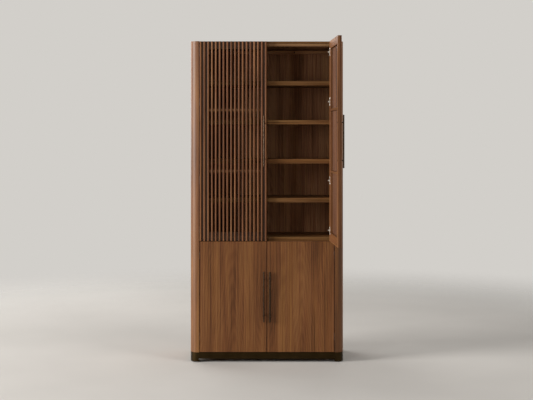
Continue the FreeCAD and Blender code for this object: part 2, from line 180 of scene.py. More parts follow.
class MetalSettings(bpy.types.PropertyGroup):
    plinth_bronze: colour("Plinth bronze", "Dark patinated bronze of the plinth", "#2E2313")
    bar_bronze: colour("Handle bronze", "Patinated bronze of the handles", "#372D24")
    nickel: colour("Nickel", "Plated hinge steel", "#EBE4DA")
    screw_head: length("Screw head", "Diameter of a hinge screw's head", 7 * MM)


class StudioSettings(bpy.types.PropertyGroup):
    floor: colour("Floor", "Studio floor", "#CFCAC3")
    backdrop: colour("Backdrop", "What lies round the cabinet", "#D2CFCA")
    key: watts("Key", "Large soft lamp far to the left", 2000)
    strip: watts("Strip", "Upright lamp left of the camera", 36)
    fill: watts("Fill", "Large soft lamp at the right", 122)
    rear: watts("Rear", "Large soft lamp behind and to the left", 172)
    top: watts("Top", "Large soft lamp overhead", 43)
    ambient: share("Ambient", "Light from all round", 0.039)
    camera_distance: length("Camera distance", "Camera to the closed doors' plane", 7.55)
    camera_height: length("Camera height", "Camera above the floor", 1.578)


# ---- small helpers ----


def add_node(tree, kind, inputs=None, stops=None, **settings):
    """Adds a node with its settings and links.

    Inputs, by name or number, take values, sockets or nodes, of which the first output is linked.
    Stops are a colour ramp's positions and colours.
    """
    made = tree.nodes.new(kind)
    for key, value in settings.items():
        setattr(made, key, value)
    for key, value in (inputs or {}).items():
        if isinstance(value, bpy.types.Node):
            value = value.outputs[0]
        if isinstance(value, bpy.types.NodeSocket):
            tree.links.new(value, made.inputs[key])
        else:
            made.inputs[key].default_value = value
    if stops:
        elements = made.color_ramp.elements
        elements.remove(elements[1])
        elements[0].position, elements[0].color = stops[0]
        for position, stop_colour in stops[1:]:
            elements.new(position).color = stop_colour
    return made


def new_surface(name):
    """An empty material and the function that adds nodes to it."""
    material = bpy.data.materials.new(name)
    material.use_nodes = True
    material.node_tree.nodes.clear()
    return material, functools.partial(add_node, material.node_tree)


def finish_surface(material, add, inputs):
    """Gives the material its shader, and a plain colour for solid view."""
    shader = add("ShaderNodeBsdfPrincipled", inputs)
    add("ShaderNodeOutputMaterial", {"Surface": shader})
    material.diffuse_color = SOLID_VIEW_COLOUR
    return material


def coat(node_name, material):
    """Gives a CAD node its finish."""
    mesh = frame["nodes"][node_name].data
    mesh.materials.clear()
    mesh.materials.append(material)


def new_mesh_object(name, mesh):
    made = bpy.data.objects.new(name, mesh)
    bpy.context.scene.collection.objects.link(made)
    return made


def opened(point):
    """Where a point of the closed right upper door is with that door open."""
    turn = Matrix.Rotation(OPEN_TURN, 4, "Z")
    return OPEN_PIVOT + turn @ (Vector(point) - OPEN_PIVOT)


# ---- walnut ----

# Turns a board's own place so that Z runs along its grain and X across its face.
GRAIN_TURNS = {
    "up": (0, 0, 0),
    "up_side": (0, 0, math.pi / 2),
    "across": (0, math.pi / 2, 0),
}
# How far one board's place in the log lies from the next board's, in metres.
LOG_STEP = Vector((0.731, 1.237, 3.911))

# The wood's features: width across the grain and run along it, in metres. Three of the widths
# are settings.
DRIFT = {"width": 0.070, "run": 1.00, "detail": 1.0}
STREAKS = {"run": 0.80, "detail": 5.0, "roughness": 0.68}
FINE_GRAIN = {"run": 0.12, "detail": 2.0}
VEINS = {"width": 0.011, "run": 0.90, "detail": 3.0, "roughness": 0.55}
FIGURE = {"width": 0.045, "run": 0.16, "detail": 2.0}
PORES = {"run": 0.009, "detail": 1.0}

# What they do: the shares of drift, streaks and fine grain in the tone, where it is dark, middle
# and light wood, and how far pores, veins and figure change its level.
TONE_SHARES = (0.46, 0.80, 0.22)
TONE_STOPS = (0.572, 0.717, 0.872)
PORE_LEVELS = {"From Min": 0.60, "From Max": 0.72, "To Min": 1.0, "To Max": 0.62}
VEIN_LEVELS = {"From Min": 0.61, "From Max": 0.72, "To Min": 1.0, "To Max": 0.76}
FIGURE_LEVELS = {"From Min": 0.3, "From Max": 0.7, "To Min": 0.94, "To Max": 1.06}
# The streaks turn between a redder and a greyer brown.
STREAK_CASTS = {
    "From Min": (0.3, 0.3, 0.3),
    "From Max": (0.7, 0.7, 0.7),
    "To Min": (1.0, 0.94, 0.83),
    "To Max": (1.0, 1.06, 1.17),
}

# The arches of crown-cut boards, in metres, with how round their tops are, their share in the
# tone and how far they sway.
ARCH_WIDTH = 0.060
ARCH_RUN = 0.55
ARCH_ROUNDING = 0.6
ARCH_SHARE = 0.05
SWAY = {"width": 0.09, "run": 0.6, "detail": 1.0}
SWAY_REACH = 0.10

# Painted shade on a slat's sides, standing in for the shade in the gaps between the slats: how
# light the sides are left at the slat's front and from a depth on, then its back, and the door's
# free edge, which is left lit.
SLAT_SIDE_PAINTED_SHADE = {"To Min": 1.26, "To Max": 0.20}
SLAT_SIDE_SHADE_DEPTH = 6 * MM
SLAT_BACK_LEVEL = 0.72
FREE_EDGE_LEVEL = 0.88

# Specular levels: the rubbed posts, the other outer faces, the slats, and the dull faces inside.
POST_POLISH = 0.34
OUTSIDE_POLISH = 0.22
SLAT_POLISH = 0.16
INSIDE_POLISH = 0.06

# Boards from other logs: their red, green and blue against the doors' wood. The casts of the
# boards inside and of the shelves are painted light: they are made paler so that they show lit in
# the interior's shade.
DOOR_CAST = (1.0, 1.0, 1.0)
POST_CAST = (1.10, 1.12, 1.0)
FRAME_CAST = (1.04, 1.09, 1.24)
CROSS_RAIL_CAST = (0.82, 0.92, 1.20)
SLAT_CAST = (1.02, 1.10, 1.44)
INSIDE_PAINTED_LIGHT = (2.05, 2.55, 3.9)
SHELF_PAINTED_LIGHT = (1.12, 1.42, 1.65)
# The carcass top, the rear top rail and the second and third shelves are made paler still, as
# painted light; the fourth shelf is left less pale, and the top panel is made darker.
LEVEL_TONES_AND_PAINTED_LIGHT = {
    "top_panel": (0.70, 0.74, 0.58),
    "carcass_top": (1.15, 1.55, 2.3),
    "rear_top_rail": (2.4, 3.0, 4.4),
    "upper_shelf_2": (1.28, 1.52, 1.72),
    "upper_shelf_3": (1.20, 1.50, 1.75),
    "upper_shelf_4": (0.85, 1.05, 1.20),
}
# One face against the rest of its board: the frames' fronts, darkened by painted shade where the
# slats shade them, the cross rails' fronts, lightened by painted light between the slats, the back
# panels' faces to the wall, which go without the inside's painted light, and the slats' backs.
STILE_FRONT_PAINTED_SHADE = (0.40, 0.44, 0.51)
CROSS_RAIL_FRONT_PAINTED_LIGHT = (2.7, 2.7, 2.7)
BACK_OUTSIDE = (0.49, 0.41, 0.27)
SLAT_BACK = (1.02, 0.86, 0.70)


def wood_place(add, seed, grain, on_open_door):
    """The point in the log: Z along the grain, moved on for each board, in metres."""
    place = add("ShaderNodeTexCoord").outputs["Object"]
    if on_open_door:
        shut = Matrix.Rotation(-OPEN_TURN, 4, "Z")
        moved = OPEN_PIVOT - shut @ OPEN_PIVOT
        inputs = {"Vector": place, "Location": moved, "Rotation": (0, 0, -OPEN_TURN)}
        place = add("ShaderNodeMapping", inputs)
    turned = add("ShaderNodeMapping", {"Vector": place, "Rotation": GRAIN_TURNS[grain]})
    return add("ShaderNodeMapping", {"Vector": turned, "Location": LOG_STEP * seed})


def along_grain(add, place, width, run, detail=2.0, roughness=0.5):
    """Noise drawn out along the grain: one cell is width across and run long."""
    scaled = add("ShaderNodeMapping", {"Vector": place, "Scale": (1 / width, 1 / width, 1 / run)})
    return add(
        "ShaderNodeTexNoise",
        {"Vector": scaled, "Scale": 1.0, "Detail": detail, "Roughness": roughness},
    )


def growth_lines(add, place, crown_x, ring_width):
    """Growth lines of a crown-cut board: arches about crown_x that run straight at its edges."""
    log = add("ShaderNodeSeparateXYZ", {"Vector": place}).outputs
    wander = along_grain(add, place, **SWAY)
    swayed = add(
        "ShaderNodeMath", {0: wander, 1: SWAY_REACH, 2: log["X"]}, operation="MULTIPLY_ADD"
    )
    middle_x = crown_x + SWAY_REACH / 2
    across = add(
        "ShaderNodeMapRange",
        {"Value": swayed, "From Min": middle_x, "From Max": middle_x + ARCH_WIDTH},
        clamp=False,
    )
    arm = add("ShaderNodeCombineXYZ", {"X": across, "Y": ARCH_ROUNDING})
    reach = add("ShaderNodeVectorMath", {0: arm}, operation="LENGTH").outputs["Value"]
    depth = add(
        "ShaderNodeMath", {0: log["Z"], 1: 1 / ARCH_RUN, 2: reach}, operation="MULTIPLY_ADD"
    )
    turn = 2 * math.pi * (ARCH_WIDTH / ring_width)
    turns = add("ShaderNodeMath", {0: depth, 1: turn}, operation="MULTIPLY")
    wave = add("ShaderNodeMath", {0: turns}, operation="SINE")
    return add("ShaderNodeMath", {0: wave, 1: 0.5, 2: 0.5}, operation="MULTIPLY_ADD")


def slat_level_with_painted_shade(add, place, seed, level):
    """The wood's level on slats.

    Each slat has a tone of its own. Painted shade darkens its sides towards the back, for the shade
    in the gaps between the slats, apart from the door's free edge, which is left lit; its back is
    left nearly as light as its front.
    """
    own = add("ShaderNodeAttribute", attribute_name="slat_tone").outputs["Fac"]
    level = add("ShaderNodeMath", {0: level, 1: own}, operation="MULTIPLY")
    log = add("ShaderNodeSeparateXYZ", {"Vector": place}).outputs
    front_y = LOG_STEP.y * seed
    back_y = front_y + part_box("upper_left_slats")[1].y
    # Painted shade on the sides: lighter at the slat's front and darker from a few millimetres
    # back.
    ends = {"From Min": front_y, "From Max": front_y + SLAT_SIDE_SHADE_DEPTH}
    side = add("ShaderNodeMapRange", {"Value": log["Y"], **ends, **SLAT_SIDE_PAINTED_SHADE})
    ends = {"From Min": back_y - 2.6 * MM, "From Max": back_y - 1.2 * MM}
    back = add("ShaderNodeMapRange", {"Value": log["Y"], **ends, "To Max": SLAT_BACK_LEVEL})
    from_middle = add("ShaderNodeMath", {0: log["X"], 1: LOG_STEP.x * seed}, operation="SUBTRACT")
    away = add("ShaderNodeMath", {0: from_middle}, operation="ABSOLUTE")
    # The free edge of the door's last slat keeps its light, without the painted shade.
    free_x = -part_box("upper_left_slats")[1].x
    ends = {"From Min": free_x + 0.3 * MM, "From Max": free_x + 1.3 * MM}
    levels = {"To Min": FREE_EDGE_LEVEL, "To Max": 0.0}
    edge = add("ShaderNodeMapRange", {"Value": away, **ends, **levels})
    lit = add("ShaderNodeMath", {0: side, 1: back}, operation="MAXIMUM")
    lit = add("ShaderNodeMath", {0: lit, 1: edge}, operation="MAXIMUM")
    return add("ShaderNodeMath", {0: level, 1: lit}, operation="MULTIPLY")


def face_casts(add, place, seed, parting, front_cast, rear_cast):
    """A cast for the board's front and another behind it, parted at one depth in metres."""
    parting += LOG_STEP.y * seed
    log_y = add("ShaderNodeSeparateXYZ", {"Vector": place}).outputs["Y"]
    ends = {"From Min": parting - 1 * MM, "From Max": parting + 1 * MM}
    behind = add("ShaderNodeMapRange", {"Value": log_y, **ends})
    reach = add("ShaderNodeCombineXYZ", {"X": behind, "Y": behind, "Z": behind})
    change = Vector(rear_cast) - Vector(front_cast)
    return add(
        "ShaderNodeVectorMath", {0: reach, 1: change, 2: front_cast}, operation="MULTIPLY_ADD"
    )


def oiled_walnut(
    name,
    seed,
    grain="up",
    crown=None,
    on_open_door=False,
    slat_tone_and_shade=False,
    faces=None,
    polish=OUTSIDE_POLISH,
    cast=DOOR_CAST,
):
    """American walnut, planed or as veneer, and oiled.

    Long streaks lie over a slow drift of tone, with dark veins, a soft cross figure and short
    dark pores, and wide crown-cut boards add arched growth lines. The oil leaves it satin, with
    an uneven gloss. The faces, if given, are the parting and the two casts of face_casts. The cast
    and the faces' casts carry painted light and painted shade on some boards, and on slats painted
    shade darkens the sides.
    """
    wood = bpy.context.scene.cabinet_walnut
    material, add = new_surface("Oiled walnut " + name)
    place = wood_place(add, seed, grain, on_open_door)
    drift = along_grain(add, place, **DRIFT)
    streaks = along_grain(add, place, wood.streak_width, **STREAKS)
    fine = along_grain(add, place, wood.fine_width, **FINE_GRAIN)
    veins = along_grain(add, place, **VEINS)
    figure = along_grain(add, place, **FIGURE)
    pores = along_grain(add, place, wood.pore_width, **PORES)

    layers = add("ShaderNodeCombineXYZ", {"X": drift, "Y": streaks, "Z": fine})
    blend = add(
        "ShaderNodeVectorMath", {0: layers, 1: TONE_SHARES}, operation="DOT_PRODUCT"
    ).outputs["Value"]
    if crown is not None:
        lines = growth_lines(add, place, crown, wood.ring_width)
        blend = add(
            "ShaderNodeMath", {0: lines, 1: ARCH_SHARE, 2: blend}, operation="MULTIPLY_ADD"
        )
    shades = [
        tuple(c * k for c, k in zip(shade, cast + (1.0,)))
        for shade in (wood.dark, wood.middle, wood.light)
    ]
    tint = add("ShaderNodeValToRGB", {"Fac": blend}, tuple(zip(TONE_STOPS, shades)))
    hue = add(
        "ShaderNodeMapRange",
        {"Vector": streaks.outputs["Color"], **STREAK_CASTS},
        data_type="FLOAT_VECTOR",
    ).outputs["Vector"]
    tinged = add("ShaderNodeVectorMath", {0: tint, 1: hue}, operation="MULTIPLY")

    level = add("ShaderNodeMapRange", {"Value": pores, **PORE_LEVELS})
    relief = add("ShaderNodeMath", {0: level, 1: 0.8, 2: fine}, operation="MULTIPLY_ADD")
    shimmer = add("ShaderNodeMapRange", {"Value": figure, **FIGURE_LEVELS})
    level = add("ShaderNodeMath", {0: level, 1: shimmer}, operation="MULTIPLY")
    veined = add("ShaderNodeMapRange", {"Value": veins, **VEIN_LEVELS})
    level = add("ShaderNodeMath", {0: level, 1: veined}, operation="MULTIPLY")
    # On slats: each slat's own tone, and painted shade on their sides.
    if slat_tone_and_shade:
        level = slat_level_with_painted_shade(add, place, seed, level)
    toned = add("ShaderNodeVectorMath", {0: tinged, "Scale": level}, operation="SCALE")
    # The faces' casts: on the frames they paint shade on the fronts behind the slats and light on
    # the cross rails' fronts.
    if faces is not None:
        either = face_casts(add, place, seed, *faces)
        toned = add("ShaderNodeVectorMath", {0: toned, 1: either}, operation="MULTIPLY")

    gloss = add(
        "ShaderNodeMath", {0: streaks, 1: 0.20, 2: wood.roughness - 0.10}, operation="MULTIPLY_ADD"
    )
    bump = add("ShaderNodeBump", {"Height": relief, "Strength": 0.18, "Distance": 0.25 * MM})
    return finish_surface(
        material,
        add,
        {
            "Base Color": toned,
            "Roughness": gloss,
            "Normal": bump,
            "IOR": 1.5,
            "Specular IOR Level": polish,
        },
    )


def sawn_plywood(name):
    """Birch plywood, sawn: pale, with darker glue lines between its 1.5 mm plies."""
    material, add = new_surface("Sawn birch plywood " + name)
    place = add("ShaderNodeTexCoord").outputs["Object"]
    plies = add(
        "ShaderNodeTexWave",
        {"Vector": place, "Scale": 1 / (20 * 1.5 * MM), "Distortion": 0.6, "Detail": 2.0},
        bands_direction="X",
    )
    stops = ((0.10, linear("#9A774F")), (0.35, linear("#DAB688")), (1.0, linear("#E7C699")))
    tint = add("ShaderNodeValToRGB", {"Fac": plies.outputs["Fac"]}, stops)
    return finish_surface(material, add, {"Base Color": tint, "Roughness": 0.7, "IOR": 1.5})


# ---- metals and small parts ----


def mottle(add, size, detail=2.0):
    """Noise of one cell size in every direction."""
    place = add("ShaderNodeTexCoord").outputs["Object"]
    return add("ShaderNodeTexNoise", {"Vector": place, "Scale": 1 / size, "Detail": detail})


def patinated_bronze(name, bronze, cloud, roughness):
    """Bronze with a waxed dark patina: nearly black-brown, faintly cloudy, with a low sheen."""
    material, add = new_surface("Patinated bronze " + name)
    clouds = mottle(add, cloud, detail=3.0)
    rubbed = tuple(1.35 * c for c in bronze[:3]) + (1.0,)
    tint = add("ShaderNodeValToRGB", {"Fac": clouds}, ((0.35, bronze), (0.75, rubbed)))
    # Grit of 0.6 mm stands for the patina's own, which is too fine to show.
    grit = mottle(add, 0.6 * MM)
    bump = add("ShaderNodeBump", {"Height": grit, "Strength": 0.10, "Distance": 0.1 * MM})
    gloss = add(
        "ShaderNodeMath", {0: clouds, 1: 0.14, 2: roughness - 0.07}, operation="MULTIPLY_ADD"
    )
    return finish_surface(
        material, add, {"Base Color": tint, "Roughness": gloss, "Normal": bump, "Metallic": 1.0}
    )


def plated_nickel(name):
    """Steel, pressed and nickel plated: bright and slightly warm, with faint press marks."""
    metal = bpy.context.scene.cabinet_metal
    material, add = new_surface("Nickel-plated steel " + name)
    marks = mottle(add, 4 * MM)
    gloss = add("ShaderNodeMath", {0: marks, 1: 0.16, 2: 0.36}, operation="MULTIPLY_ADD")
    bump = add("ShaderNodeBump", {"Height": marks, "Strength": 0.08, "Distance": 0.2 * MM})
    return finish_surface(
        material,
        add,
        {"Base Color": metal.nickel, "Roughness": gloss, "Normal": bump, "Metallic": 1.0},
    )


def moulded_plastic(name, hex_colour, roughness, ior):
    """Plastic or rubber, moulded: matt and nearly even, with the mould's fine texture."""
    material, add = new_surface(name)
    # The mould's 0.1 mm texture is drawn at 1.2 mm so that it shows.
    grain = mottle(add, 1.2 * MM)
    shade = linear(hex_colour)
    lighter = tuple(min(1.0, 1.25 * c) for c in shade[:3]) + (1.0,)
    tint = add("ShaderNodeValToRGB", {"Fac": grain}, ((0.3, shade), (0.8, lighter)))
    bump = add("ShaderNodeBump", {"Height": grain, "Strength": 0.2, "Distance": 0.1 * MM})
    return finish_surface(
        material, add, {"Base Color": tint, "Roughness": roughness, "Normal": bump, "IOR": ior}
    )


# ---- Geometry Nodes ----


def new_geometry_tree(name, inputs):
    """A Geometry Nodes tree with named inputs, with its adding function and its two ends."""
    tree = bpy.data.node_groups.new(name, "GeometryNodeTree")
    tree.interface.new_socket("Geometry", in_out="INPUT", socket_type="NodeSocketGeometry")
    for label, socket_type in inputs:
        tree.interface.new_socket(label, in_out="INPUT", socket_type=socket_type)
    tree.interface.new_socket("Geometry", in_out="OUTPUT", socket_type="NodeSocketGeometry")
    add = functools.partial(add_node, tree)
    return tree, add, add("NodeGroupInput").outputs


def run_tree(name, tree, points, values, vectors=None):
    """Runs a tree on a mesh of points, and returns the result as a plain mesh object."""
    mesh = bpy.data.meshes.new(name)
    mesh.from_pydata([tuple(p) for p in points], [], [])
    if vectors:
        facing = mesh.attributes.new("facing", "FLOAT_VECTOR", "POINT")
        for item, vector in zip(facing.data, vectors):
            item.vector = vector
    source = new_mesh_object(name + "_points", mesh)
    modifier = source.modifiers.new("Make", "NODES")
    modifier.node_group = tree
    items = tree.interface.items_tree
    sockets = {i.name: i for i in items if i.item_type == "SOCKET" and i.in_out == "INPUT"}
    for label, value in values.items():
        modifier[sockets[label].identifier] = value
    graph = bpy.context.evaluated_depsgraph_get()
    made = bpy.data.meshes.new_from_object(source.evaluated_get(graph), depsgraph=graph)
    source.modifiers.clear()
    bpy.data.objects.remove(source)
    made.name = name
    return new_mesh_object(name, made)


def soft_edges(add, geometry, sharp_degrees):
    """Smooth faces with the edges over that angle left sharp."""
    smooth = add("GeometryNodeSetShadeSmooth", {"Geometry": geometry}, domain="FACE")
    angle = add("GeometryNodeInputMeshEdgeAngle").outputs["Unsigned Angle"]
    sharp = add(
        "FunctionNodeCompare", {0: angle, 1: math.radians(sharp_degrees)}, operation="GREATER_THAN"
    )
    inputs = {"Geometry": smooth, "Selection": sharp, "Shade Smooth": False}
    return add("GeometryNodeSetShadeSmooth", inputs, domain="EDGE")


def slat_tree():
    """A row of upright slats with rounded edges, each with a tone of its own."""
    tree, add, given = new_geometry_tree(
        "Slat row",
        (
            ("Width", "NodeSocketFloat"),
            ("Thickness", "NodeSocketFloat"),
            ("Height", "NodeSocketFloat"),
            ("Edge rounding", "NodeSocketFloat"),
            ("Count", "NodeSocketInt"),
            ("Pitch", "NodeSocketFloat"),
            ("Material", "NodeSocketMaterial"),
        ),
    )
    section = add(
        "GeometryNodeCurvePrimitiveQuadrilateral",
        {"Width": given["Width"], "Height": given["Thickness"]},
    )
    rounded = add(
        "GeometryNodeFilletCurve",
        {"Curve": section, "Radius": given["Edge rounding"], "Count": 4},
        mode="POLY",
    )
    foot = add("GeometryNodeFillCurve", {"Curve": rounded}, mode="NGONS")
    rise = add("ShaderNodeCombineXYZ", {"Z": given["Height"]})
    raised = add("GeometryNodeExtrudeMesh", {"Mesh": foot, "Offset": rise}, mode="FACES")
    underside = add("GeometryNodeFlipFaces", {"Mesh": foot})
    shell = add("GeometryNodeJoinGeometry", {0: raised})
    tree.links.new(underside.outputs[0], shell.inputs[0])
    closed = add("GeometryNodeMergeByDistance", {"Geometry": shell, "Distance": 0.001 * MM})
    step = add("ShaderNodeCombineXYZ", {"X": given["Pitch"]})
    row = add("GeometryNodeMeshLine", {"Count": given["Count"], "Offset": step}, mode="OFFSET")
    slats = add("GeometryNodeInstanceOnPoints", {"Points": row, "Instance": closed})
    tone = add("FunctionNodeRandomValue", {"Min": 0.86, "Max": 1.14, "Seed": 7}, data_type="FLOAT")
    toned = add(
        "GeometryNodeStoreNamedAttribute",
        {"Geometry": slats, "Name": "slat_tone", "Value": tone.outputs["Value"]},
        data_type="FLOAT",
        domain="INSTANCE",
    )
    real = add("GeometryNodeRealizeInstances", {"Geometry": toned})
    smooth = soft_edges(add, real, 40)
    dressed = add("GeometryNodeSetMaterial", {"Geometry": smooth, "Material": given["Material"]})
    add("NodeGroupOutput", {0: dressed})
    return tree


def screw_tree():
    """A pan-head screw with a cross recess at each point, facing along that point's vector."""
    tree, add, given = new_geometry_tree(
        "Pan-head screws", (("Head", "NodeSocketFloat"), ("Material", "NodeSocketMaterial"))
    )
    # Radius, crown radius and rise, then the recess's arm and slot, as shares of the head.
    radius, crown, rise, arm, slot = (
        add("ShaderNodeMath", {0: given["Head"], 1: part}, operation="MULTIPLY")
        for part in (0.5, 0.34, 0.26, 0.52, 0.12)
    )
    cut = add(
        "GeometryNodeMeshCone",
        {"Vertices": 20, "Radius Top": crown, "Radius Bottom": radius, "Depth": rise},
    )
    lift = add("ShaderNodeCombineXYZ", {"Z": rise})
    for size in ((arm, slot), (slot, arm)):
        extent = add("ShaderNodeCombineXYZ", {"X": size[0], "Y": size[1], "Z": rise})
        bar = add("GeometryNodeMeshCube", {"Size": extent})
        tool = add("GeometryNodeTransform", {"Geometry": bar, "Translation": lift})
        both = {"Mesh 1": cut, "Mesh 2": tool}
        cut = add("GeometryNodeMeshBoolean", both, operation="DIFFERENCE")
    facing = add("GeometryNodeInputNamedAttribute", {"Name": "facing"}, data_type="FLOAT_VECTOR")
    aimed = add("FunctionNodeAlignRotationToVector", {"Vector": facing}, axis="Z")
    screws = add(
        "GeometryNodeInstanceOnPoints",
        {"Points": given["Geometry"], "Instance": cut, "Rotation": aimed},
    )
    real = add("GeometryNodeRealizeInstances", {"Geometry": screws})
    dressed = add("GeometryNodeSetMaterial", {"Geometry": real, "Material": given["Material"]})
    add("NodeGroupOutput", {0: dressed})
    return tree


# ---- pieces ----


class CABINET_OT_carcass(bpy.types.Operator):
    """Finish the carcass boards in oiled walnut, with painted light on the boards inside, and its
    small fittings
    """

    bl_idname = "cabinet.carcass"
    bl_label = "Carcass"

    def execute(self, context):
        for seed, name in enumerate(FRONT_FACING_BOARDS, 1):
            looks = {"polish": POST_POLISH, "cast": POST_CAST}
            if name.startswith("back_panel"):
                # Painted light on the back panels' inner faces; their faces to the wall go without
                # it.
                looks = {"polish": INSIDE_POLISH, "cast": INSIDE_PAINTED_LIGHT}
                looks["crown"] = LOG_STEP.x * seed
                looks["faces"] = (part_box(name)[1].y - 2 * MM, DOOR_CAST, BACK_OUTSIDE)
            coat(name, oiled_walnut(name, seed, **looks))
        for seed, name in enumerate(SIDE_FACING_BOARDS, 11):
            looks = {"polish": OUTSIDE_POLISH}
            if name.startswith("carcass_side"):
                # Painted light on the carcass sides inside.
                looks = {"polish": INSIDE_POLISH, "cast": INSIDE_PAINTED_LIGHT}
            crown = LOG_STEP.x * seed - 0.22
            coat(name, oiled_walnut(name, seed, grain="up_side", crown=crown, **looks))
        for seed, name in enumerate(LEVEL_BOARDS, 21):
            polish = OUTSIDE_POLISH if name == "top_panel" else INSIDE_POLISH
            # The level boards' casts: painted light on those inside, and a darker tone on the top
            # panel.
            cast = LEVEL_TONES_AND_PAINTED_LIGHT.get(name, SHELF_PAINTED_LIGHT)
            coat(name, oiled_walnut(name, seed, grain="across", polish=polish, cast=cast))
        plywood = sawn_plywood("batten")
        for name in ("end_battens_left", "end_battens_right"):
            coat(name, plywood)
        coat("shelf_pins", plated_nickel("shelf pin"))
        coat("door_bumpers", moulded_plastic("Moulded silicone bumper", "#78543A", 0.45, 1.41))
        return {"FINISHED"}


class CABINET_OT_door_frames(bpy.types.Operator):
    """Finish the upper doors' stiles and rails in oiled walnut, with painted shade on their fronts
    behind the slats and painted light on the cross rails' fronts
    """

    bl_idname = "cabinet.door_frames"
    bl_label = "Upper door frames"

    def execute(self, context):
        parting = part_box("upper_left_slats")[1].y + 2 * MM
        # Painted shade on the stiles' and rails' fronts, where the slats shade them.
        stile = {"cast": FRAME_CAST, "faces": (parting, STILE_FRONT_PAINTED_SHADE, DOOR_CAST)}
        rail = {"grain": "across", **stile}
        # Painted light on the cross rails' fronts between the slats.
        cross_rail = {
            "grain": "across",
            "cast": CROSS_RAIL_CAST,
            "faces": (parting, CROSS_RAIL_FRONT_PAINTED_LIGHT, DOOR_CAST),
        }
        pieces = {
            "hinge_stile": stile,
            "lock_stile": stile,
            "top_rail": rail,
            "bottom_rail": rail,
            "cross_rails": cross_rail,
        }
        for number, door in enumerate(UPPER_DOORS):
            for seed, (piece, looks) in enumerate(pieces.items(), 52 + 10 * number):
                name = door + "_" + piece
                coat(name, oiled_walnut(name, seed, on_open_door=door == OPEN_DOOR, **looks))
        return {"FINISHED"}


class CABINET_OT_slats(bpy.types.Operator):
    """Make the rows of upright slats on the two upper doors, with painted shade on the slats' sides
    """

    bl_idname = "cabinet.slats"
    bl_label = "Slats"

    def execute(self, context):
        sizes = context.scene.cabinet_slats
        low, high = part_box("upper_left_slats")
        size = high - low
        tree = slat_tree()
        faces = (high.y - 1.9 * MM, DOOR_CAST, SLAT_BACK)
        looks = {"polish": SLAT_POLISH, "cast": SLAT_CAST, "faces": faces}
        for seed, door in enumerate(UPPER_DOORS, 81):
            swung = door == OPEN_DOOR
            name = door + "_slat_row"
            values = {
                "Width": sizes.width,
                "Thickness": size.y,
                "Height": size.z,
                "Edge rounding": sizes.ease,
                "Count": sizes.count,
                "Pitch": (size.x - sizes.width) / (sizes.count - 1),
                "Material": oiled_walnut(name, seed, on_open_door=swung, slat_tone_and_shade=True, **looks),
            }
            row = run_tree(name, tree, [(0, 0, 0)], values)
            start_x = -high.x if swung else low.x
            row.data.transform(Matrix.Translation((start_x + sizes.width / 2, size.y / 2, low.z)))
            if swung:
                turn = Matrix.Rotation(OPEN_TURN, 4, "Z")
                about = Matrix.Translation(OPEN_PIVOT) @ turn @ Matrix.Translation(-OPEN_PIVOT)
                row.data.transform(about)
            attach(row, door + "_door")
            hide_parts(door + "_slats")
        return {"FINISHED"}


class CABINET_OT_lower_doors(bpy.types.Operator):
    """Finish the plain lower doors in crown-cut walnut veneer"""

    bl_idname = "cabinet.lower_doors"
    bl_label = "Lower doors"

    def execute(self, context):
        for seed, door in enumerate(LOWER_DOORS, 91):
            name = door + "_panel"
            low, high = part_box(name)
            crown = (low.x + high.x) / 2 + LOG_STEP.x * seed
            coat(name, oiled_walnut(name, seed, crown=crown))
        return {"FINISHED"}


class CABINET_OT_metalwork(bpy.types.Operator):
    """Finish the plinth, handles and hinges, and close the plinth's slot with a dark strip that
    stands in for shade
    """

    bl_idname = "cabinet.metalwork"
    bl_label = "Metalwork"

    def execute(self, context):
        metal = context.scene.cabinet_metal
        bronze = patinated_bronze("plinth", metal.plinth_bronze, 60 * MM, 0.40)
        for name in PLINTH:
            coat(name, bronze)
        bar_bronze = patinated_bronze("handle", metal.bar_bronze, 12 * MM, 0.28)
        nickel = plated_nickel("hinge")
        for name in HINGE_STEEL:
            coat(name, nickel)
        for door in DOORS:
            coat(door + "_handle", bar_bronze)
            coat(door + "_hinge_cups", nickel)
            coat(door + "_hinge_links", nickel)
        coat("base_screws", plated_nickel("base screw"))
        self.make_plinth_shade_strip(bronze)
        coat("floor_glides", moulded_plastic("Moulded nylon glide", "#211F1E", 0.55, 1.53))
        return {"FINISHED"}

    def make_plinth_shade_strip(self, bronze):
        """A dark bronze strip that closes the slot between the plinth and the bottom deck, so that
        the slot shows dark: painted shade, standing in for the shade under the cabinet.
        """
        front_low, front_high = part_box("base_apron_front")
        top_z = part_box("base_feet")[1].z
        deck_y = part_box("bottom_deck")[0].y
        xs = (front_low.x, front_high.x)
        ys = (front_high.y, deck_y + 1 * MM)
        zs = (top_z - SHADE_STRIP_THICKNESS, top_z - 0.1 * MM)
        corners = [(x, y, z) for z in zs for y in ys for x in xs]
        faces = ((0, 2, 3, 1), (4, 5, 7, 6), (0, 1, 5, 4), (2, 6, 7, 3), (0, 4, 6, 2), (1, 3, 7, 5))
        mesh = bpy.data.meshes.new("plinth_shade_strip")
        mesh.from_pydata(corners, [], faces)
        mesh.materials.append(bronze)
        shade_strip = new_mesh_object("plinth_shade_strip", mesh)
        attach(shade_strip, "carcass")


def hinge_heights(door):
    """The heights of a door's hinges, from its lowest and highest."""
    low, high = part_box(door + "_hinge_cups")
    outer = [low.z + CUP_FLANGE_LENGTH / 2, high.z - CUP_FLANGE_LENGTH / 2]
    if door in UPPER_DOORS:
        outer += [outer[0] + UPPER_HINGE_PAIR, outer[1] - UPPER_HINGE_PAIR]
    return sorted(outer)


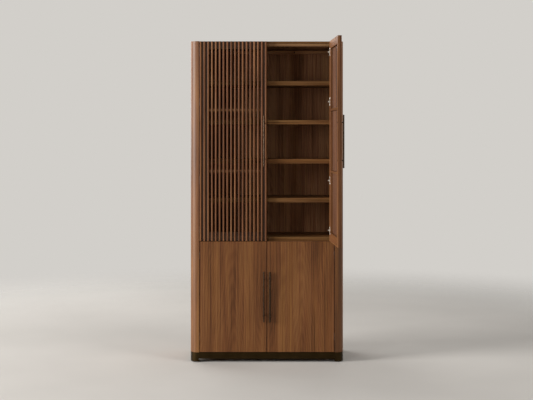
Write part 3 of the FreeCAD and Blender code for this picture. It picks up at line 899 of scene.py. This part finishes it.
class CABINET_OT_screws(bpy.types.Operator):
    """Make the screws of the hinge plates, the hinge cups and the wall fixing"""

    bl_idname = "cabinet.screws"
    bl_label = "Screws"

    def execute(self, context):
        metal = context.scene.cabinet_metal
        tree = screw_tree()
        nickel = {"Head": metal.screw_head, "Material": plated_nickel("screw")}
        self.make_plate_screws(tree, nickel)
        self.make_wall_screws(metal, tree)
        for door in DOORS:
            self.make_cup_screws(door, tree, nickel)
        return {"FINISHED"}

    def make_plate_screws(self, tree, nickel):
        """Two screws through each hinge plate into the carcass side."""
        plate_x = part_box("carcass_side_right")[0].x - PLATE_THICKNESS
        low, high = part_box("hinge_plates")
        points, facings = [], []
        for door in DOORS:
            side = 1 if "right" in door else -1
            for z in hinge_heights(door):
                for rise in (-PLATE_SCREW_SPREAD / 2, PLATE_SCREW_SPREAD / 2):
                    points.append(Vector((side * plate_x, (low.y + high.y) / 2, z + rise)))
                    facings.append((-side, 0, 0))
        screws = run_tree("hinge_plate_screws", tree, points, nickel, facings)
        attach(screws, "carcass")

    def make_cup_screws(self, door, tree, nickel):
        """Two screws through each hinge cup's flange into the door."""
        side = 1 if "right" in door else -1
        screws_x = side * (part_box("lower_right_panel")[1].x - CUP_SCREWS_IN)
        flange_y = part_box("lower_right_hinge_cups")[1].y
        points, facings = [], []
        for z in hinge_heights(door):
            for rise in (-CUP_SCREW_SPREAD / 2, CUP_SCREW_SPREAD / 2):
                point = Vector((screws_x, flange_y, z + rise))
                facing = Vector((0, 1, 0))
                if door == OPEN_DOOR:
                    point = opened(point)
                    facing = Matrix.Rotation(OPEN_TURN, 3, "Z") @ facing
                points.append(point)
                facings.append(facing)
        screws = run_tree(door + "_cup_screws", tree, points, nickel, facings)
        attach(screws, door + "_door")

    def make_wall_screws(self, metal, tree):
        """The two dark screws through the rear top rail into the wall."""
        rail_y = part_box("rear_top_rail")[0].y
        points = [Vector((side * WALL_SCREW_X, rail_y, WALL_SCREW_Z)) for side in (-1, 1)]
        bronze = patinated_bronze("wall screw", metal.plinth_bronze, 12 * MM, 0.40)
        values = {"Head": WALL_SCREW_HEAD, "Material": bronze}
        screws = run_tree("wall_screws", tree, points, values, [(0, -1, 0)] * 2)
        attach(screws, "carcass")


# ---- studio ----

HORIZON_ABOVE_MIDDLE_PX = 64.5
CABINET_RIGHT_OF_MIDDLE_PX = 0.4
FRONT_PX_PER_M = 143.65
SENSOR_MM = 36.0
FLOOR_SOLID_RADIUS = 2.3  # metres, from where the floor fades into the backdrop
FLOOR_RADIUS = 6.0


class CABINET_OT_studio(bpy.types.Operator):
    """Make the floor, the lights and the camera"""

    bl_idname = "cabinet.studio"
    bl_label = "Studio"

    def execute(self, context):
        studio = context.scene.cabinet_studio
        self.make_floor(studio)
        self.make_world(context, studio)
        # Azimuth in degrees from the front towards the right, then distance, height and size.
        self.make_lamp("Key", studio.key, -72, 12.0, 3.2, (4.6, 4.6))
        self.make_lamp("Strip", studio.strip, -30.5, 5.0, 2.1, (0.9, 1.8))
        self.make_lamp("Fill", studio.fill, 60, 4.2, 4.4, (2.5, 2.5))
        self.make_lamp("Rear", studio.rear, -140, 5.5, 3.2, (4.4, 4.4))
        self.make_lamp("Top", studio.top, 180, 1.6, 5.0, (2.5, 2.5))
        self.make_camera(context, studio)
        return {"FINISHED"}

    def make_floor(self, studio):
        """A painted floor, whose far parts fade away so that no horizon shows."""
        segments = 96
        rim = [2 * math.pi * i / segments for i in range(segments)]
        corners = [(FLOOR_RADIUS * math.cos(a), FLOOR_RADIUS * math.sin(a), 0) for a in rim]
        mesh = bpy.data.meshes.new("studio_floor")
        mesh.from_pydata(corners, [], [tuple(range(segments))])
        floor = new_mesh_object("studio_floor", mesh)
        material, add = new_surface("Matt floor paint")
        clouds = mottle(add, 0.9)
        deeper = tuple(0.95 * c for c in studio.floor[:3]) + (1.0,)
        tint = add("ShaderNodeValToRGB", {"Fac": clouds}, ((0.35, deeper), (0.65, studio.floor)))
        place = add("ShaderNodeTexCoord").outputs["Object"]
        far = add("ShaderNodeVectorMath", {0: place}, operation="LENGTH").outputs["Value"]
        there = add(
            "ShaderNodeMapRange",
            {
                "Value": far,
                "From Min": FLOOR_SOLID_RADIUS,
                "From Max": 0.95 * FLOOR_RADIUS,
                "To Min": 1.0,
                "To Max": 0.0,
            },
            interpolation_type="SMOOTHSTEP",
        )
        finish_surface(
            material,
            add,
            {"Base Color": tint, "Roughness": 0.9, "Specular IOR Level": 0.2, "Alpha": there},
        )
        mesh.materials.append(material)

    def make_world(self, context, studio):
        """Soft light from all round, with the backdrop's own colour seen directly and in gloss."""
        world = bpy.data.worlds.new("Studio")
        context.scene.world = world
        world.use_nodes = True
        world.node_tree.nodes.clear()
        add = functools.partial(add_node, world.node_tree)
        ray = add("ShaderNodeLightPath").outputs
        seen = ray["Is Camera Ray"]
        for kind in ("Is Glossy Ray", "Is Transmission Ray"):
            seen = add("ShaderNodeMath", {0: seen, 1: ray[kind]}, operation="MAXIMUM")
        ambient = add("ShaderNodeBackground", {"Color": (1, 1, 1, 1), "Strength": studio.ambient})
        shown = add("ShaderNodeBackground", {"Color": studio.backdrop, "Strength": 1.0})
        both = add("ShaderNodeMixShader", {0: seen, 1: ambient, 2: shown})
        add("ShaderNodeOutputWorld", {"Surface": both})

    def make_lamp(self, name, power, azimuth, distance, height, size):
        """A rectangular soft lamp, aimed at the cabinet's middle."""
        lamp = bpy.data.lights.new(name, "AREA")
        lamp.shape = "RECTANGLE"
        lamp.energy = power
        lamp.size, lamp.size_y = size
        turn = math.radians(azimuth)
        place = Vector((distance * math.sin(turn), -distance * math.cos(turn), height))
        middle = Vector((0, 0, 1.15))
        made = bpy.data.objects.new(name, lamp)
        made.location = place
        made.rotation_euler = (middle - place).to_track_quat("-Z", "Y").to_euler()
        made.visible_camera = False
        bpy.context.scene.collection.objects.link(made)

    def make_camera(self, context, studio):
        """Square to the cabinet's front, with the frame shifted down to take it all in."""
        camera = bpy.data.cameras.new("Camera")
        focal_px = FRONT_PX_PER_M * studio.camera_distance
        camera.sensor_width = SENSOR_MM
        camera.lens = SENSOR_MM * focal_px / IMAGE_WIDTH_PX
        camera.shift_x = -CABINET_RIGHT_OF_MIDDLE_PX / IMAGE_WIDTH_PX
        camera.shift_y = -HORIZON_ABOVE_MIDDLE_PX / IMAGE_WIDTH_PX
        made = bpy.data.objects.new("Camera", camera)
        made.location = (0, -studio.camera_distance, studio.camera_height)
        made.rotation_euler = (math.pi / 2, 0, 0)
        context.scene.collection.objects.link(made)
        context.scene.camera = made
        context.scene.view_settings.view_transform = "Standard"


OPERATORS = (
    CABINET_OT_studio,
    CABINET_OT_carcass,
    CABINET_OT_door_frames,
    CABINET_OT_slats,
    CABINET_OT_lower_doors,
    CABINET_OT_metalwork,
    CABINET_OT_screws,
)


class CABINET_PT_sidebar(bpy.types.Panel):
    bl_idname = "CABINET_PT_sidebar"
    bl_label = "Tall slatted cabinet"
    bl_space_type = "VIEW_3D"
    bl_region_type = "UI"
    bl_category = "Cabinet"

    def draw(self, context):
        for group in SETTINGS:
            settings = getattr(context.scene, group)
            for prop in settings.bl_rna.properties:
                if prop.identifier not in ("rna_type", "name"):
                    self.layout.prop(settings, prop.identifier)
        for operator in OPERATORS:
            self.layout.operator(operator.bl_idname)


SETTINGS = {
    "cabinet_walnut": WalnutSettings,
    "cabinet_slats": SlatSettings,
    "cabinet_metal": MetalSettings,
    "cabinet_studio": StudioSettings,
}
CLASSES = tuple(SETTINGS.values()) + OPERATORS + (CABINET_PT_sidebar,)


def register():
    for cls in CLASSES:
        bpy.utils.register_class(cls)
    for name, cls in SETTINGS.items():
        setattr(bpy.types.Scene, name, bpy.props.PointerProperty(type=cls))


def unregister():
    for name in SETTINGS:
        delattr(bpy.types.Scene, name)
    for cls in reversed(CLASSES):
        bpy.utils.unregister_class(cls)


def run_operator(operator):
    area, name = operator.bl_idname.split(".")
    result = getattr(getattr(bpy.ops, area), name)()
    if "FINISHED" not in result:
        raise RuntimeError(operator.bl_label + " did not finish")


def main():
    register()
    for operator in OPERATORS:
        run_operator(operator)


if __name__ == "__main__":
    main()
